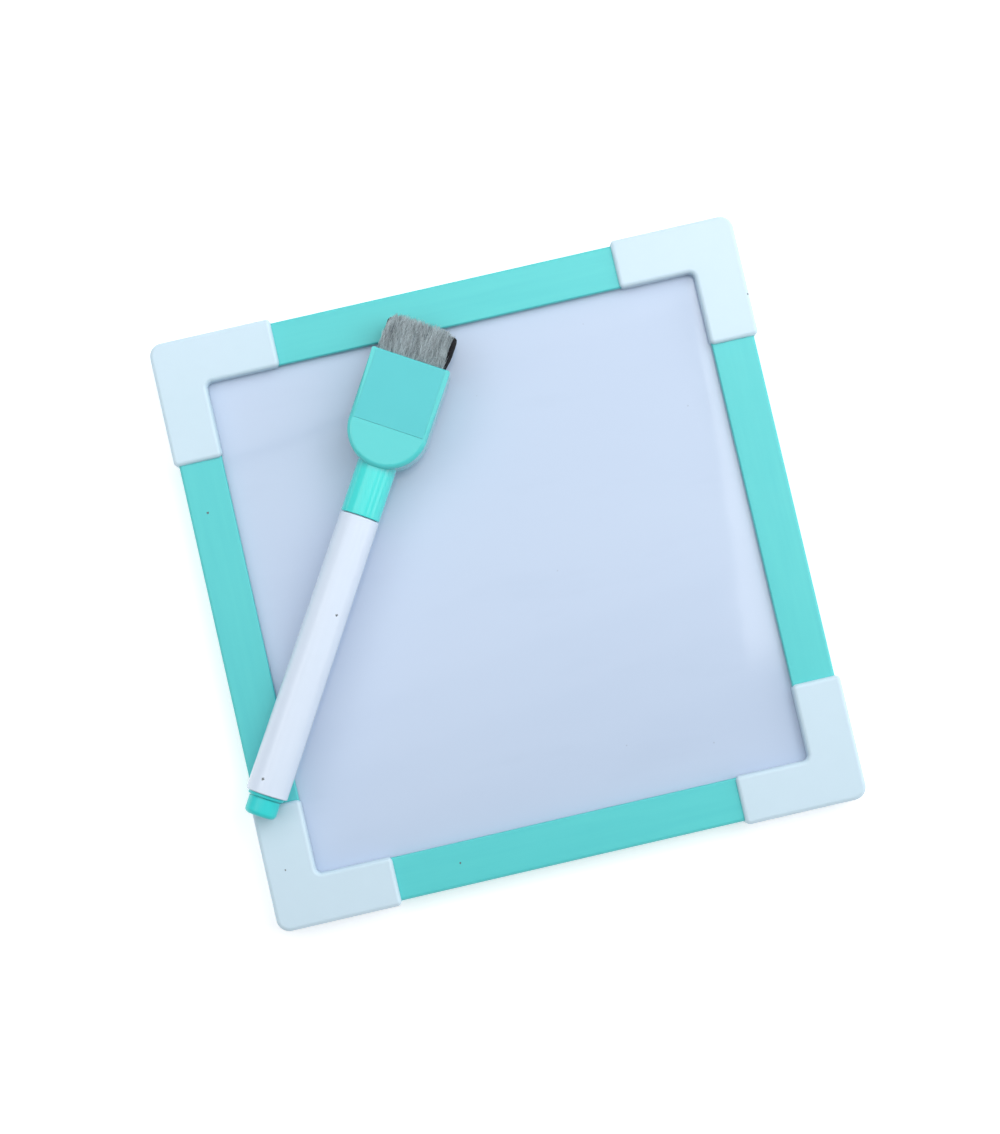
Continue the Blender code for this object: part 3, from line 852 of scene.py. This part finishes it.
def make_fibres(materials):
    """Fine curved fibres, each a three-sided blade that narrows to a point."""
    draw = random.Random(41)
    path = pile_path()
    bm = bmesh.new()
    shades = bm.verts.layers.float.new("fibre_shade")
    for _ in range(PILE_FIBRES):
        place = draw.random() ** 1.25 * (len(path) - 1.001)
        index = int(place)
        (y0, z0), (ny, nz) = path[index]
        (y1, z1), _ = path[index + 1]
        part = place - index
        x = PILE_LOW.x + (PILE_HIGH.x - PILE_LOW.x) * draw.random()
        root = bowed(Vector((x, y0 + (y1 - y0) * part, z0 + (z1 - z0) * part)))
        normal = Vector((0.0, ny, nz))
        along = Vector((0.0, nz, -ny))
        lock = noise.noise(Vector((root.x * 520.0, root.y * 160.0, root.z * 160.0)))
        lean = along * draw.uniform(0.8, 1.4) + Vector((0.5 * lock + draw.gauss(0.0, 0.16), 0.0, 0.0))
        rise = normal * draw.uniform(0.10, 0.50)
        length = draw.uniform(0.0020, 0.0042)
        first = (lean + rise).normalized() * length * 0.5
        second = (lean * 1.3 + rise * draw.uniform(-0.4, 0.3)).normalized() * length * 0.5
        width = draw.uniform(0.00005, 0.00009)
        strand = noise.noise(Vector((root.x * 1500.0, root.y * 200.0, root.z * 200.0 + 7.0)))
        shade = min(1.0, max(0.0, 0.55 + 0.6 * strand + draw.gauss(0.0, 0.27)))
        add_fibre(bm, shades, root - normal * 0.0002, first, second, width, shade)
    fibres = add_object("eraser_pile_fibres", bm, MARKER)
    fibres.data.shade_smooth()
    dress(fibres, materials["pile"], "marker_cap", "pile")


def add_fibre(bm, shades, root, first, second, width, shade):
    side = first.cross(Vector((0.31, 0.52, 0.79))).normalized()
    other = first.cross(side).normalized()
    rings = []
    for center, size in ((root, width), (root + first, width * 0.8)):
        turn = [(math.cos(a), math.sin(a)) for a in (0.0, 2.094, 4.189)]
        rings.append([bm.verts.new(center + (side * c + other * s) * size) for c, s in turn])
    tip = bm.verts.new(root + first + second)
    for vert in [*rings[0], *rings[1], tip]:
        vert[shades] = shade
    for i in range(3):
        j = (i + 1) % 3
        bm.faces.new([rings[0][i], rings[0][j], rings[1][j], rings[1][i]])
        bm.faces.new([rings[1][i], rings[1][j], tip])
    bm.faces.new(rings[0][::-1])


# ---- CAD nodes that stay, with better materials ----
def redress_cad(materials):
    kept = {"core_board": "core", "back_sheet": "back", "ink_reservoir": "ink", "cap_seal": "seal"}
    kept["cap_magnet"] = "magnet"
    for node, material in kept.items():
        for material_slot in frame["nodes"][node].material_slots:
            material_slot.material = materials[material]


# ---- Stage ----
def floor_material():
    material, tree, shader, place = new_material("paper_floor", Roughness=0.9, Specular_IOR_Level=0.2)
    fibre = clouds(tree, place, 60.0, 4.0)
    tree.links.new(tint(tree, fibre, (0.90, 0.905, 0.91), (0.93, 0.935, 0.94)), shader.inputs["Base Color"])
    shader.inputs["Emission Color"].default_value = (1.0, 1.0, 1.0, 1.0)
    shader.inputs["Emission Strength"].default_value = 0.36
    return material


def make_floor():
    bm = bmesh.new()
    bmesh.ops.create_circle(bm, cap_ends=True, radius=4.0, segments=64)
    floor = add_object("studio_floor", bm)
    floor.location.z = -0.0001
    floor.data.materials.append(floor_material())


def make_softbox(name, centre, size, radiance, yaw=None):
    """A rectangular softbox. It faces straight down with a yaw in degrees, or else the board's centre."""
    data = bpy.data.lights.new(name, "AREA")
    data.shape = "RECTANGLE"
    data.size, data.size_y = size
    data.energy = radiance * math.pi * size[0] * size[1]
    light = bpy.data.objects.new(name, data)
    bpy.context.scene.collection.objects.link(light)
    light.location = centre
    if yaw is None:
        light.rotation_euler = (-Vector(centre)).to_track_quat("-Z", "Y").to_euler()
    else:
        light.rotation_euler.z = math.radians(yaw)


def make_lights():
    """A tent of soft light: brightest at the right and beyond the board's top edge, weaker at the left.

    The overhead strips hang one above another, each reaching nearer, so the film's glow fades downwards.
    """
    make_softbox("softbox_top", (0.0, 0.438, 0.6), (1.1, 0.6), 1.22, 6)
    far_edge = 0.175
    for index, near_edge in enumerate((-0.015, -0.055, -0.095)):
        centre = (-0.06, (far_edge + near_edge) / 2, 1.0 + 0.004 * index)
        make_softbox(f"softbox_overhead_{index}", centre, (0.88, far_edge - near_edge), 0.38, 8)
    make_softbox("softbox_key", (0.500, 0.21, 0.98), (0.60, 0.56), 1.0, -6)
    make_softbox("softbox_key_rim", (0.2456, 0.2287, 0.984), (0.09, 0.576), 1.5, -6)
    make_softbox("softbox_right", (0.59, 0.16, 0.73), (0.95, 0.5), 1.85)
    make_softbox("softbox_right_low", (0.89, -0.016, 0.325), (1.14, 0.4), 1.5)
    make_softbox("softbox_left", (-0.64, 0.11, 0.69), (0.5, 0.36), 1.2)
    world = bpy.data.worlds.new("studio_air")
    world.use_nodes = True
    background = world.node_tree.nodes["Background"]
    background.inputs["Color"].default_value = (0.97, 0.985, 1.0, 1.0)
    background.inputs["Strength"].default_value = 0.39
    bpy.context.scene.world = world


def make_camera():
    data = bpy.data.cameras.new("camera")
    data.sensor_fit = "VERTICAL"
    data.sensor_height = 36.0
    data.lens = 79.365
    data.clip_start = 0.01
    camera = bpy.data.objects.new("camera", data)
    bpy.context.scene.collection.objects.link(camera)
    camera.location = (-0.017914, -0.037144, 0.756675)
    camera.rotation_euler = [math.radians(angle) for angle in (3.1685, -0.546, -12.989)]
    bpy.context.scene.camera = camera


def main():
    bpy.context.scene.view_settings.view_transform = "Standard"
    make_camera()
    materials = make_materials()
    make_film(materials)
    make_rails(materials)
    make_corners(materials)
    make_barrel(materials)
    make_plug(materials)
    make_neck(materials)
    make_nib(materials)
    make_cap(materials)
    make_plate(materials)
    make_foam(materials)
    make_pile(materials)
    redress_cad(materials)
    make_floor()
    make_lights()


main()
